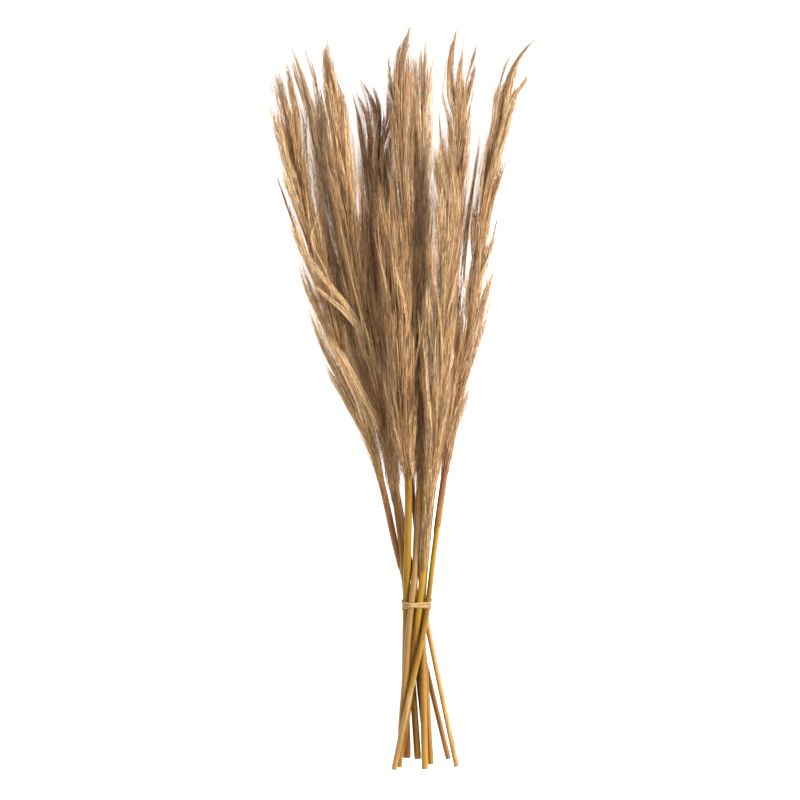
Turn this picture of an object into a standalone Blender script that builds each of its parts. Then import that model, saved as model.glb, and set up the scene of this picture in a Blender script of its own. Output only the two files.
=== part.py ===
"""Bundle of dried pampas grass, tied with raffia and lying on a flat surface.

Frame: +Y runs along the bundle from the cut ends to the plume tips, +Z is up, and z = 0 is the
surface. The origin is at the middle of the bundle's footprint. Lengths below are in millimetres,
measured along the bundle from the lowest cut end (s), across it (x) and above the surface (z).

Ten culms cross at the tie like a loose spiral. Each is a cane (stem) and a feathery head (plume).
A plume is a slim core with long locks that stand out of it, fused into one solid.
"""

import math
import random
from collections import namedtuple

import bmesh
import bpy
import numpy as np
from mathutils import Vector

MM = 0.001
GAP = 0.3  # between pieces that touch
STEP = 5.0  # between stations along the bundle
LENGTH = 755.0
RUN_ON = 60.0  # a culm's line runs straight on past its ends
BEND_PASSES = 24  # smoothing passes that round a culm's line

# The heap: how the culms are pushed clear of each other and of the surface.
HEAP_GAP = 1.2
HEAP_ROUNDS = 500
HEAP_LAST = 100  # of them, with nothing holding the culms back
HEAP_STIFFNESS = 6  # smoothing passes on each round's shifts
HEAP_PUSH = np.array((0.3, 0.35))  # share of an overlap undone in a round, across and upward
HEAP_HOLD = np.array((0.965, 0.99))  # share of a shift kept, across and upward

# Stems
STEM_SIDES = 8
STEM_RING_STEP = 42.0
COLLAR_SHARE = 0.85  # the cane's radius where the plume starts
JOINT_SWELL = 0.3
JOINT_RINGS = ((-2.5, 0.0), (-0.8, 1.0), (0.8, 1.0), (2.5, 0.0))  # distance and share of swell
SHEATH_WALL = 0.6
SHEATH_EDGE = 0.8

# Plumes
CORE_SIDES = 6
CORE_SHARE = 0.45  # of the plume's radius
CORE_NECK = 0.8  # its radius where it joins the cane, as a share of the cane's
CORE_END = 0.8  # its radius at the top
CORE_RINGS = 10
CORE_TURN = 0.25  # from one ring to the next
CORE_SHORT = 45.0  # the core ends this far below the tip
ROOT_SHORT = 75.0  # the topmost lock grows this far below the tip
ROOT_LOW = 5.0  # the lowest lock grows this far above the collar
LOCK_STATIONS = (0.0, 0.5, 1.0)  # along one lock
LOCK_OUT = (0.15, 0.72, 1.0)  # how far out of the plume's middle the lock is there
LOCK_RADII = (2.8, 2.6, 0.5)
LOCK_LENGTH = (70.0, 125.0)
LOCK_EVERY = 12.5  # along the plume, one lock
LOCK_STAGGER = 50.0  # the topmost locks end this far apart
LOCK_ROOM = 2.4  # from a lock's centre line to the plume's limit
LOCK_SIDES = 3
FULL_LOCKS = 15.4  # a plume this wide or wider has locks of full thickness
ROOT_STRAY = 0.4  # of the distance between locks
TURN_STRAY = 0.3
LOCK_LIFT = (0.82, 1.0)  # how far out of the plume's limit a lock stays
GOLDEN_ANGLE = math.radians(137.508)

# Tie
TIE_AT = 165.5
TIE_SIDES = 24
TURNS = ((-2.4, 1.6, 0.4, 0.0), (0.2, -2.2, 1.1, 0.35), (2.6, 1.3, 2.6, 0.1))
# each turn of raffia: distance from the tie's middle, tilt, the tilt's phase, how far out
RAFFIA_WIDTH = 3.8
RAFFIA_TOP = 0.7  # width of its outer face, as a share
RAFFIA_THICKNESS = 0.9
SLANT_ROOM = 0.5  # the canes slant across the band's width
KNOT_ANGLE = math.radians(-97)  # round the bundle: on the underside
KNOT_RADII = (1.2, 2.6, 2.9, 2.5, 1.2)
KNOT_STEP = 1.7
KNOT_SIDES = 8
KNOT_OUT = 1.9  # its middle stands this far off the canes
TAIL_RADII = (1.5, 1.5, 1.3, 0.8)
TAIL_STEP = Vector((1.1, 4.5, 0.0))
TAIL_ROOT = 1.5  # across, from the knot's middle
TAIL_DROP = 1.3
TAIL_SIDES = 4

Lock = namedtuple("Lock", "root end angle lift twist")
Culm = namedtuple("Culm", "cane joint sheath collar plume blunt seed path")
# cane: radius. joint: where the cane swells. sheath: where a leaf sheath starts, or None.
# collar: where the plume starts. plume: its widest radius. blunt: how full its top is.
# path: (x, s, z) from the cut end, through the tie, to the tip.
CULMS = {
    "01": Culm(2.6, 95, 207, 300, 16, 8.0, 1, (
        (33, 8, 4), (-5.4, 165.5, 9), (-34, 300, 36), (-44, 353, 42), (-67, 424, 42),
        (-87, 480, 36), (-101, 538, 28), (-118, 603, 18), (-130, 660, 16), (-137, 704, 16))),
    "02": Culm(2.8, 70, None, 300, 15, 6.0, 2, (
        (15, 5, 22), (0.9, 165.5, 17), (-22, 300, 12), (-30, 340, 12), (-48, 405, 14),
        (-66, 480, 14), (-84, 560, 14), (-103, 655, 13), (-121, 722, 14))),
    "03": Culm(3.4, 60, 262, 282, 17, 5.0, 3, (
        (2, 9, 12), (-9, 165.5, 18), (-24, 282, 26), (-39, 370, 38), (-57, 470, 42),
        (-73, 600, 34), (-79, 650, 28), (-88, 700, 21), (-91, 722, 19), (-89, 740, 18))),
    "04": Culm(2.7, 105, None, 290, 18, 8.0, 4, (
        (41, 2, 20), (6.9, 165.5, 15), (-3, 290, 12), (-12, 360, 14), (-25, 450, 16),
        (-34, 540, 17), (-40, 615, 17), (-37, 650, 17), (-40, 675, 16), (-53, 698, 16))),
    "05": Culm(3.1, 88, None, 285, 14, 8.0, 5, (
        (-17, 3, 30), (-3, 165.5, 30.3), (7, 285, 34), (1, 380, 40), (-8, 470, 44),
        (-14, 570, 42), (-16, 665, 36), (-16, 705, 32), (-13, 728, 30), (-4, 752, 28))),
    "06": Culm(3.2, 75, None, 295, 13, 12.0, 6, (
        (11, 12, 12), (-1.4, 165.5, 23), (2, 295, 14), (5, 400, 14), (8, 480, 15),
        (8, 570, 15), (4, 660, 14), (9, 737, 14))),
    "07": Culm(3.3, 92, None, 290, 14.5, 12.0, 7, (
        (9, 1, 32), (5.4, 165.5, 22), (17, 290, 12), (27, 430, 14), (36, 500, 15),
        (41, 600, 16), (43.5, 650, 17), (43.5, 700, 17), (50, 746, 18))),
    "08": Culm(2.7, 88, 240, 305, 14, 3.6, 8, (
        (-22, 1, 36), (10.2, 165.5, 26), (30, 305, 22), (34, 340, 28), (45, 420, 30),
        (53, 490, 22), (66, 575, 14), (80, 630, 13), (87, 660, 13), (92, 690, 14),
        (99, 710, 14), (111, 730, 15), (125, 741, 16))),
    "09": Culm(3.7, 82, None, 288, 17.5, 8.0, 9, (
        (-10, 10, 14), (-8.6, 165.5, 26), (-7, 292, 46), (-12, 330, 58), (-17, 380, 64),
        (-19, 460, 66), (-23, 520, 62), (-31, 584, 58))),
    "10": Culm(3.4, 78, 200, 285, 15.5, 7.0, 10, (
        (-14, 12, 16), (4, 165.5, 29.8), (13, 285, 44), (17, 330, 52), (22, 420, 56),
        (28, 500, 54), (34, 560, 50), (26, 636, 44))),
}

# These plumes fray: every few locks one leans out to that side, past the rest.
FREE_SIDE = {"01": math.radians(140), "08": math.radians(15), "10": math.radians(150)}
FRAY_EVERY = 5
FRAY_TURN = 0.5
FRAY_LIFT = 1.5

PLUME_TAN = (0.52, 0.34, 0.19)
CANE_STRAW = (0.66, 0.47, 0.16)
RAFFIA_STRAW = (0.74, 0.56, 0.32)


# ---------------------------------------------------------------- the heap

def stations():
    return np.arange(0.0, LENGTH + STEP, STEP)


def smoothed(values, passes):
    """Values along the last axis, evened out with both ends left free to move."""
    for _ in range(passes):
        padded = np.concatenate(
            (2 * values[..., :1] - values[..., 1:2], values, 2 * values[..., -1:] - values[..., -2:-1]),
            axis=-1)
        values = 0.25 * padded[..., :-2] + 0.5 * values + 0.25 * padded[..., 2:]
    return values


def plume_radius(culm, s):
    """Radius that the plume fills at a distance s along the bundle."""
    share = np.clip((s - culm.collar) / (culm.path[-1][1] - culm.collar), 0.0, 1.0)
    opening = np.minimum(1.0, 0.36 + 0.64 * (share / 0.3) ** 0.8)
    closing = (1.0 - share ** culm.blunt) ** 0.7
    return np.maximum(culm.plume * opening * closing, 1.6)


def filled_radius(culm, s):
    """Radius of the cane or plume at a distance s along the bundle."""
    cane = culm.cane + (SHEATH_WALL if culm.sheath else 0.0)
    return np.where(s < culm.collar, cane, np.maximum(plume_radius(culm, s), cane))


def planned(culm, s):
    """(x, z) at each station of a smooth line through a culm's points, straight past its ends."""
    points = [Vector(p) for p in culm.path]
    for end, inner in ((0, 1), (-1, -2)):
        run_on = (points[end] - points[inner]).normalized() * RUN_ON
        points.insert(0 if end == 0 else len(points), points[end] + run_on)
    along = [p.y for p in points]
    line = np.array([np.interp(s, along, [p.x for p in points]),
                     np.interp(s, along, [p.z for p in points])])
    return smoothed(line, BEND_PASSES)


def settle(culms):
    """Paths (x, z at each station) of culms pushed clear of each other and of the surface."""
    s = stations()
    path = np.stack([planned(culm, s) for culm in culms], axis=1)
    radius = np.array([filled_radius(c, s) for c in culms])
    present = np.array([(s >= c.path[0][1] - STEP) & (s <= c.path[-1][1] + STEP) for c in culms])
    both = present[:, None] & present[None] & ~np.eye(len(culms), dtype=bool)[:, :, None]
    reach = radius[:, None] + radius[None] + HEAP_GAP
    shift = np.zeros_like(path)
    for turn in range(HEAP_ROUNDS):
        now = path + shift
        apart = now[:, :, None] - now[:, None]
        distance = np.hypot(*apart) + 1e-6
        overlap = np.where(both, np.clip(reach - distance, 0.0, None), 0.0)
        push = (apart / distance * overlap).sum(axis=2) * HEAP_PUSH[:, None, None]
        sunk = np.clip(radius - (path + shift)[1], 0.0, None)
        push[1] += sunk
        shift = shift + push
        if turn < HEAP_ROUNDS - HEAP_LAST:
            shift = smoothed(shift * HEAP_HOLD[:, None, None], HEAP_STIFFNESS)
        else:
            shift = smoothed(shift, 1)
    return {key: (path + shift)[:, i] for i, key in enumerate(CULMS)}


def centre(route, s):
    """Point of a culm's centre line, in millimetres."""
    grid = stations()
    return Vector((np.interp(s, grid, route[0]), s, np.interp(s, grid, route[1])))


def heading(route, s):
    """Direction of a culm's centre line."""
    return (centre(route, s + STEP) - centre(route, s - STEP)).normalized()


# ---------------------------------------------------------------- meshes

def material(name, colour, roughness):
    made = bpy.data.materials.new(name)
    made.use_nodes = True
    shader = made.node_tree.nodes["Principled BSDF"]
    shader.inputs["Base Color"].default_value = (*colour, 1.0)
    shader.inputs["Roughness"].default_value = roughness
    return made


def tube_mesh(name, rings):
    """Closed mesh through rings of points given in millimetres, with flat ends."""
    mesh = bpy.data.meshes.new(name)
    bm = bmesh.new()
    loops = [[bm.verts.new(Vector(p) * MM) for p in ring] for ring in rings]
    sides = len(loops[0])
    for low, high in zip(loops, loops[1:]):
        for i in range(sides):
            j = (i + 1) % sides
            bm.faces.new((low[i], low[j], high[j], high[i]))
    bm.faces.new(list(reversed(loops[0])))
    bm.faces.new(loops[-1])
    bmesh.ops.recalc_face_normals(bm, faces=bm.faces)
    bm.to_mesh(mesh)
    bm.free()
    return mesh


def add_object(name, mesh, collection=None):
    made = bpy.data.objects.new(name, mesh)
    (collection or bpy.context.scene.collection).objects.link(made)
    return made


def ring_round(middle, direction, radius, sides, turn=0.0):
    """Ring of points square to a direction."""
    side = direction.cross(Vector((0, 0, 1))).normalized()
    up = side.cross(direction).normalized()
    angles = [turn + 2 * math.pi * i / sides for i in range(sides)]
    return [middle + side * (radius * math.cos(a)) + up * (radius * math.sin(a)) for a in angles]


def finish_node(made, look, shade_angle=None):
    made.data.materials.clear()
    made.data.materials.append(look)
    if shade_angle:
        made.data.shade_smooth()
        made.data.set_sharp_from_angle(angle=math.radians(shade_angle))


def outer_shell(mesh):
    """Keep only the largest shell, so a sealed hollow or a loose scrap is dropped."""
    bm = bmesh.new()
    bm.from_mesh(mesh)
    left = set(bm.faces)
    shells = []
    while left:
        front = [left.pop()]
        shell = list(front)
        while front:
            face = front.pop()
            for edge in face.edges:
                for other in edge.link_faces:
                    if other in left:
                        left.remove(other)
                        shell.append(other)
                        front.append(other)
        shells.append(shell)
    shells.sort(key=len)
    for shell in shells[:-1]:
        bmesh.ops.delete(bm, geom=shell, context="FACES")
    bm.to_mesh(mesh)
    bm.free()


def fuse(name, body, additions):
    """One solid from a body mesh and the meshes that grow from it."""
    repeats = bpy.data.collections.new(name + "_repeats")
    bpy.context.scene.collection.children.link(repeats)
    for number, mesh in enumerate(additions):
        add_object(f"{name}_repeat_{number}", mesh, repeats)
    base = add_object(name, body)
    union = base.modifiers.new("Fuse", "BOOLEAN")
    union.operation = "UNION"
    union.operand_type = "COLLECTION"
    union.collection = repeats
    union.solver = "EXACT"
    bpy.context.view_layer.update()
    evaluated = base.evaluated_get(bpy.context.evaluated_depsgraph_get())
    fused = bpy.data.meshes.new_from_object(evaluated)
    base.modifiers.clear()
    base.data = fused
    for repeat in list(repeats.objects):
        bpy.data.objects.remove(repeat, do_unlink=True)
    bpy.data.collections.remove(repeats)
    outer_shell(fused)
    return base


# ---------------------------------------------------------------- stems

def cane_profile(culm):
    """(s, radius) from the cut end to the collar."""
    start, end = culm.path[0][1], culm.collar
    profile = {start: culm.cane, end: culm.cane * COLLAR_SHARE}
    count = round((end - start) / STEM_RING_STEP)
    for i in range(1, count):
        profile[start + (end - start) * i / count] = culm.cane
    for offset, swell in JOINT_RINGS:
        profile[culm.joint + offset] = culm.cane + JOINT_SWELL * swell
    if culm.sheath:
        profile = {s: r + (SHEATH_WALL if s > culm.sheath else 0.0) for s, r in profile.items()}
        profile[culm.sheath - SHEATH_EDGE] = culm.cane
        profile[culm.sheath] = culm.cane + SHEATH_WALL
    return sorted(profile.items())


def make_stem(key, culm, route):
    rings = []
    for s, radius in cane_profile(culm):
        rings.append(ring_round(centre(route, s), heading(route, s), radius, STEM_SIDES))
    stem = add_object("stem_" + key, tube_mesh("stem_" + key, rings))
    finish_node(stem, material("cane_" + key, CANE_STRAW, 0.55), 40)


# ---------------------------------------------------------------- plumes

def make_core(key, culm, route):
    start, end = culm.collar + GAP, culm.path[-1][1]
    rings = []
    for i in range(CORE_RINGS + 1):
        s = start + (end - CORE_SHORT - start) * i / CORE_RINGS
        radius = CORE_SHARE * float(plume_radius(culm, s))
        if i == 0:
            radius = culm.cane * CORE_NECK
        if i == CORE_RINGS:
            radius = CORE_END
        rings.append(ring_round(
            centre(route, s), heading(route, s), radius, CORE_SIDES, CORE_TURN * i))
    return tube_mesh("plume_" + key, rings)


def plan_locks(key, culm):
    """The locks of one plume, drawn at random from its own seed."""
    rng = random.Random(culm.seed)
    start, tip = culm.collar, culm.path[-1][1]
    count = round((tip - start) / LOCK_EVERY)
    locks = []
    for i in range(count):
        place = (i + rng.uniform(-ROOT_STRAY, ROOT_STRAY)) / count
        root = start + max(ROOT_LOW, (tip - start - ROOT_SHORT) * place)
        top = tip - rng.uniform(0.0, LOCK_STAGGER) * (i < count - 1)
        end = min(root + rng.uniform(*LOCK_LENGTH), top)
        angle = GOLDEN_ANGLE * i + rng.uniform(-TURN_STRAY, TURN_STRAY)
        lift = rng.uniform(*LOCK_LIFT)
        if key in FREE_SIDE and i % FRAY_EVERY == 2:
            angle = FREE_SIDE[key] + rng.uniform(-FRAY_TURN, FRAY_TURN)
            lift = FRAY_LIFT
        twist = rng.uniform(-TURN_STRAY, TURN_STRAY)
        locks.append(Lock(root, end, angle, lift, twist))
    return locks


def lock_points(culm, route, lock):
    """Centre line of one lock: from deep in the plume out to its surface, swept to the tip."""
    points = []
    for share, out in zip(LOCK_STATIONS, LOCK_OUT):
        s = lock.root + (lock.end - lock.root) * share
        reach = max(float(plume_radius(culm, s)) - LOCK_ROOM, LOCK_RADII[-1]) * out * lock.lift
        turned = lock.angle + lock.twist * share
        points.append(
            centre(route, s) + Vector((math.cos(turned), 0, math.sin(turned))) * reach)
    return points


def make_lock(name, points, scale, turn):
    rings = []
    last = len(points) - 1
    for i, point in enumerate(points):
        along = (points[min(i + 1, last)] - points[max(i - 1, 0)]).normalized()
        rings.append(ring_round(point, along, LOCK_RADII[i] * scale, LOCK_SIDES, turn))
    return tube_mesh(name, rings)


def make_plume(key, culm, route):
    scale = min(1.0, culm.plume / FULL_LOCKS)
    locks = [
        make_lock(f"lock_{i}", lock_points(culm, route, lock), scale, lock.angle)
        for i, lock in enumerate(plan_locks(key, culm))]
    plume = fuse("plume_" + key, make_core(key, culm, route), locks)
    finish_node(plume, material("plume_" + key, PLUME_TAN, 0.9))


# ---------------------------------------------------------------- tie

def snug(circles, angle, out):
    """Point of a taut loop round circles, pushed outward."""
    along = np.array((math.cos(angle), math.sin(angle)))
    middle, radius = max(circles, key=lambda c: c[0] @ along + c[1])
    return middle + (radius + out) * along


def canes_at(routes, s, room):
    """Circles of the canes at a distance s: (middle, radius)."""
    return [
        (np.array(centre(routes[key], s).xz), culm.cane + room) for key, culm in CULMS.items()]


def winding(name, routes, at, tilt, phase, out):
    """One turn of raffia, a flat band that climbs to one side by the tilt."""
    wide, narrow = RAFFIA_WIDTH / 2, RAFFIA_WIDTH / 2 * RAFFIA_TOP
    rings = []
    for i in range(TIE_SIDES):
        angle = 2 * math.pi * i / TIE_SIDES
        s = TIE_AT + at + tilt * math.sin(angle + phase)
        circles = canes_at(routes, s, SLANT_ROOM)
        inner = snug(circles, angle, GAP + out)
        outer = snug(circles, angle, GAP + out + RAFFIA_THICKNESS)
        rings.append([
            Vector((inner[0], s - wide, inner[1])), Vector((outer[0], s - narrow, outer[1])),
            Vector((outer[0], s + narrow, outer[1])), Vector((inner[0], s + wide, inner[1]))])
    mesh = bpy.data.meshes.new(name)
    bm = bmesh.new()
    loops = [[bm.verts.new(p * MM) for p in ring] for ring in rings]
    for i, low in enumerate(loops):
        high = loops[(i + 1) % TIE_SIDES]
        for j in range(4):
            k = (j + 1) % 4
            bm.faces.new((low[j], low[k], high[k], high[j]))
    bmesh.ops.recalc_face_normals(bm, faces=bm.faces)
    bm.to_mesh(mesh)
    bm.free()
    return mesh


def knot(routes):
    """The knot's lump and its two cut tails, one along the canes each way."""
    x, z = snug(canes_at(routes, TIE_AT, SLANT_ROOM), KNOT_ANGLE, GAP + KNOT_OUT)
    across = Vector((1.0, 0, 0))
    middle = Vector((x, TIE_AT, z))
    half = (len(KNOT_RADII) - 1) / 2
    lump = [
        ring_round(middle + across * ((i - half) * KNOT_STEP), across, radius, KNOT_SIDES)
        for i, radius in enumerate(KNOT_RADII)]
    meshes = [tube_mesh("knot", lump)]
    for side in (-1, 1):
        rings = []
        for i, radius in enumerate(TAIL_RADII):
            drop = Vector((0, 0, -TAIL_DROP * math.sqrt(i)))
            place = middle + across * (side * TAIL_ROOT) + TAIL_STEP * (side * i) + drop
            rings.append(ring_round(place, TAIL_STEP * side, radius, TAIL_SIDES))
        meshes.append(tube_mesh("tail", rings))
    return meshes


def make_tie(routes):
    turns = [winding(f"turn_{i}", routes, *turn) for i, turn in enumerate(TURNS)]
    tie = fuse("tie", turns[0], turns[1:] + knot(routes))
    finish_node(tie, material("raffia", RAFFIA_STRAW, 0.7))


# ---------------------------------------------------------------- the bundle

def clear_scene():
    for made in list(bpy.data.objects):
        bpy.data.objects.remove(made, do_unlink=True)


def centre_on_footprint():
    """Shift every piece so that the box is centred on the origin and rests at z = 0."""
    pieces = [made for made in bpy.data.objects if made.type == "MESH"]
    points = [made.matrix_world @ v.co for made in pieces for v in made.data.vertices]
    low = Vector([min(p[i] for p in points) for i in range(3)])
    high = Vector([max(p[i] for p in points) for i in range(3)])
    shift = Vector((-(low.x + high.x) / 2, -(low.y + high.y) / 2, -low.z))
    for made in pieces:
        made.location = shift


def main():
    clear_scene()
    routes = settle(list(CULMS.values()))
    for key, culm in CULMS.items():
        make_stem(key, culm, routes[key])
        make_plume(key, culm, routes[key])
    make_tie(routes)
    centre_on_footprint()


main()
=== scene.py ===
"""Looks for the lying bundle of dried pampas grass: fine hair, canes and raffia round the frame.

The culms' table and the heap rule are the ones that the solids were made by, so every lock of
hair lies where its solid lock does. Lengths in them are millimetres: s along the bundle from the
lowest cut end, x across it, z above the surface.
"""

import math
import random
from collections import namedtuple

import bpy
import numpy as np
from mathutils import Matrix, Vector


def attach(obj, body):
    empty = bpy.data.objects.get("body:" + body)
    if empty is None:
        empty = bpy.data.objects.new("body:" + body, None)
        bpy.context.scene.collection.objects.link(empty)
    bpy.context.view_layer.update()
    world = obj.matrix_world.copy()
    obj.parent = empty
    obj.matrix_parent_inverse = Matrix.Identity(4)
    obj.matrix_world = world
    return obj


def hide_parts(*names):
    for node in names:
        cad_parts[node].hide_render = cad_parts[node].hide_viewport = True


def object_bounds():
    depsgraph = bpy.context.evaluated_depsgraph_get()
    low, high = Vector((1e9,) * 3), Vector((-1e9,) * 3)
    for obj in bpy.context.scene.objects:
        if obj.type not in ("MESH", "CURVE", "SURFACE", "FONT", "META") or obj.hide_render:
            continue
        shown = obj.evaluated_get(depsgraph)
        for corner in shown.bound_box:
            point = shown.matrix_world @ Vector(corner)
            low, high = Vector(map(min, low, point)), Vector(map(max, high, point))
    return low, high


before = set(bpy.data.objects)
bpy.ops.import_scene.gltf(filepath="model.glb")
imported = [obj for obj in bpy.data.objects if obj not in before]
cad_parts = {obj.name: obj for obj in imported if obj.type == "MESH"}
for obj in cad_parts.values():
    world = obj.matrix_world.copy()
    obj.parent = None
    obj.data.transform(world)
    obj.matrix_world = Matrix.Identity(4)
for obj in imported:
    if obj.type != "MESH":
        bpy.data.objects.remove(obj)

CAD_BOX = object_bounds()
MM = 0.001

# -------- the bundle's plan

STEP = 5.0
LENGTH = 755.0
RUN_ON = 60.0
BEND_PASSES = 24
HEAP_GAP = 1.2
HEAP_ROUNDS = 500
HEAP_LAST = 100
HEAP_STIFFNESS = 6
HEAP_PUSH = np.array((0.3, 0.35))
HEAP_HOLD = np.array((0.965, 0.99))
SHEATH_WALL = 0.6
JOINT_SWELL = 0.3
ROOT_SHORT = 75.0
ROOT_LOW = 5.0
LOCK_LENGTH = (70.0, 125.0)
LOCK_EVERY = 12.5
LOCK_STAGGER = 50.0
HAIR_ROOM = 1.2
LOCK_LIFT = (0.82, 1.0)
ROOT_STRAY = 0.4
TURN_STRAY = 0.3
GOLDEN_ANGLE = math.radians(137.508)
FREE_SIDE = {"01": math.radians(140), "08": math.radians(15), "10": math.radians(150)}
FRAY_EVERY = 5
FRAY_TURN = 0.5
FRAY_LIFT = 1.5
TIE_AT = 165.5

Culm = namedtuple("Culm", "cane joint sheath collar plume blunt seed path")
CULMS = {
    "01": Culm(2.6, 95, 207, 300, 16, 8.0, 1, (
        (33, 8, 4), (-5.4, 165.5, 9), (-34, 300, 36), (-44, 353, 42), (-67, 424, 42),
        (-87, 480, 36), (-101, 538, 28), (-118, 603, 18), (-130, 660, 16), (-137, 704, 16))),
    "02": Culm(2.8, 70, None, 300, 15, 6.0, 2, (
        (15, 5, 22), (0.9, 165.5, 17), (-22, 300, 12), (-30, 340, 12), (-48, 405, 14),
        (-66, 480, 14), (-84, 560, 14), (-103, 655, 13), (-121, 722, 14))),
    "03": Culm(3.4, 60, 262, 282, 17, 5.0, 3, (
        (2, 9, 12), (-9, 165.5, 18), (-24, 282, 26), (-39, 370, 38), (-57, 470, 42),
        (-73, 600, 34), (-79, 650, 28), (-88, 700, 21), (-91, 722, 19), (-89, 740, 18))),
    "04": Culm(2.7, 105, None, 290, 18, 8.0, 4, (
        (41, 2, 20), (6.9, 165.5, 15), (-3, 290, 12), (-12, 360, 14), (-25, 450, 16),
        (-34, 540, 17), (-40, 615, 17), (-37, 650, 17), (-40, 675, 16), (-53, 698, 16))),
    "05": Culm(3.1, 88, None, 285, 14, 8.0, 5, (
        (-17, 3, 30), (-3, 165.5, 30.3), (7, 285, 34), (1, 380, 40), (-8, 470, 44),
        (-14, 570, 42), (-16, 665, 36), (-16, 705, 32), (-13, 728, 30), (-4, 752, 28))),
    "06": Culm(3.2, 75, None, 295, 13, 12.0, 6, (
        (11, 12, 12), (-1.4, 165.5, 23), (2, 295, 14), (5, 400, 14), (8, 480, 15),
        (8, 570, 15), (4, 660, 14), (9, 737, 14))),
    "07": Culm(3.3, 92, None, 290, 14.5, 12.0, 7, (
        (9, 1, 32), (5.4, 165.5, 22), (17, 290, 12), (27, 430, 14), (36, 500, 15),
        (41, 600, 16), (43.5, 650, 17), (43.5, 700, 17), (50, 746, 18))),
    "08": Culm(2.7, 88, 240, 305, 14, 3.6, 8, (
        (-22, 1, 36), (10.2, 165.5, 26), (30, 305, 22), (34, 340, 28), (45, 420, 30),
        (53, 490, 22), (66, 575, 14), (80, 630, 13), (87, 660, 13), (92, 690, 14),
        (99, 710, 14), (111, 730, 15), (125, 741, 16))),
    "09": Culm(3.7, 82, None, 288, 17.5, 8.0, 9, (
        (-10, 10, 14), (-8.6, 165.5, 26), (-7, 292, 46), (-12, 330, 58), (-17, 380, 64),
        (-19, 460, 66), (-23, 520, 62), (-31, 584, 58))),
    "10": Culm(3.4, 78, 200, 285, 15.5, 7.0, 10, (
        (-14, 12, 16), (4, 165.5, 29.8), (13, 285, 44), (17, 330, 52), (22, 420, 56),
        (28, 500, 54), (34, 560, 50), (26, 636, 44))),
}
GRID = np.arange(0.0, LENGTH + STEP, STEP)


def smoothed(values, passes):
    for _ in range(passes):
        padded = np.concatenate(
            (2 * values[..., :1] - values[..., 1:2], values, 2 * values[..., -1:] - values[..., -2:-1]),
            axis=-1)
        values = 0.25 * padded[..., :-2] + 0.5 * values + 0.25 * padded[..., 2:]
    return values


def plume_radius(culm, s):
    share = np.clip((s - culm.collar) / (culm.path[-1][1] - culm.collar), 0.0, 1.0)
    opening = np.minimum(1.0, 0.36 + 0.64 * (share / 0.3) ** 0.8)
    closing = (1.0 - share ** culm.blunt) ** 0.7
    return np.maximum(culm.plume * opening * closing, 1.6)


def filled_radius(culm, s):
    cane = culm.cane + (SHEATH_WALL if culm.sheath else 0.0)
    return np.where(s < culm.collar, cane, np.maximum(plume_radius(culm, s), cane))


def planned(culm, s):
    points = [Vector(p) for p in culm.path]
    for end, inner in ((0, 1), (-1, -2)):
        run_on = (points[end] - points[inner]).normalized() * RUN_ON
        points.insert(0 if end == 0 else len(points), points[end] + run_on)
    along = [p.y for p in points]
    line = np.array([np.interp(s, along, [p.x for p in points]),
                     np.interp(s, along, [p.z for p in points])])
    return smoothed(line, BEND_PASSES)


def settle(culms):
    path = np.stack([planned(culm, GRID) for culm in culms], axis=1)
    radius = np.array([filled_radius(c, GRID) for c in culms])
    present = np.array([
        (GRID >= c.path[0][1] - STEP) & (GRID <= c.path[-1][1] + STEP) for c in culms])
    both = present[:, None] & present[None] & ~np.eye(len(culms), dtype=bool)[:, :, None]
    reach = radius[:, None] + radius[None] + HEAP_GAP
    shift = np.zeros_like(path)
    for turn in range(HEAP_ROUNDS):
        now = path + shift
        apart = now[:, :, None] - now[:, None]
        distance = np.hypot(*apart) + 1e-6
        overlap = np.where(both, np.clip(reach - distance, 0.0, None), 0.0)
        push = (apart / distance * overlap).sum(axis=2) * HEAP_PUSH[:, None, None]
        push[1] += np.clip(radius - now[1], 0.0, None)
        shift = shift + push
        if turn < HEAP_ROUNDS - HEAP_LAST:
            shift = smoothed(shift * HEAP_HOLD[:, None, None], HEAP_STIFFNESS)
        else:
            shift = smoothed(shift, 1)
    return {key: (path + shift)[:, i] for i, key in enumerate(CULMS)}


ROUTES = settle(list(CULMS.values()))


def line_at(key, s):
    """Centre line of a culm at distances s, in millimetres, as an array of points."""
    s = np.asarray(s, dtype=float)
    x, z = ROUTES[key]
    return np.stack([np.interp(s, GRID, x), s, np.interp(s, GRID, z)], axis=-1)


def plan_to_frame():
    """Shift from the plan's millimetres to the frame, read off the lowest cut end."""
    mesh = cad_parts["stem_07"].data
    points = {tuple(round(c, 5) for c in v.co) for v in mesh.vertices}
    lowest = min(p[1] for p in points)
    ring = [p for p in points if p[1] < lowest + 1.0 * MM]
    middle = np.mean(ring, axis=0)
    return middle - line_at("07", CULMS["07"].path[0][1]) * MM


SHIFT = plan_to_frame()


def to_frame(points):
    return np.asarray(points) * MM + SHIFT


# -------- materials

def srgb(red, green, blue):
    """Linear colour from 0 to 255 display values."""
    def linear(value):
        value /= 255.0
        return value / 12.92 if value <= 0.04045 else ((value + 0.055) / 1.055) ** 2.4
    return (linear(red), linear(green), linear(blue), 1.0)


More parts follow.
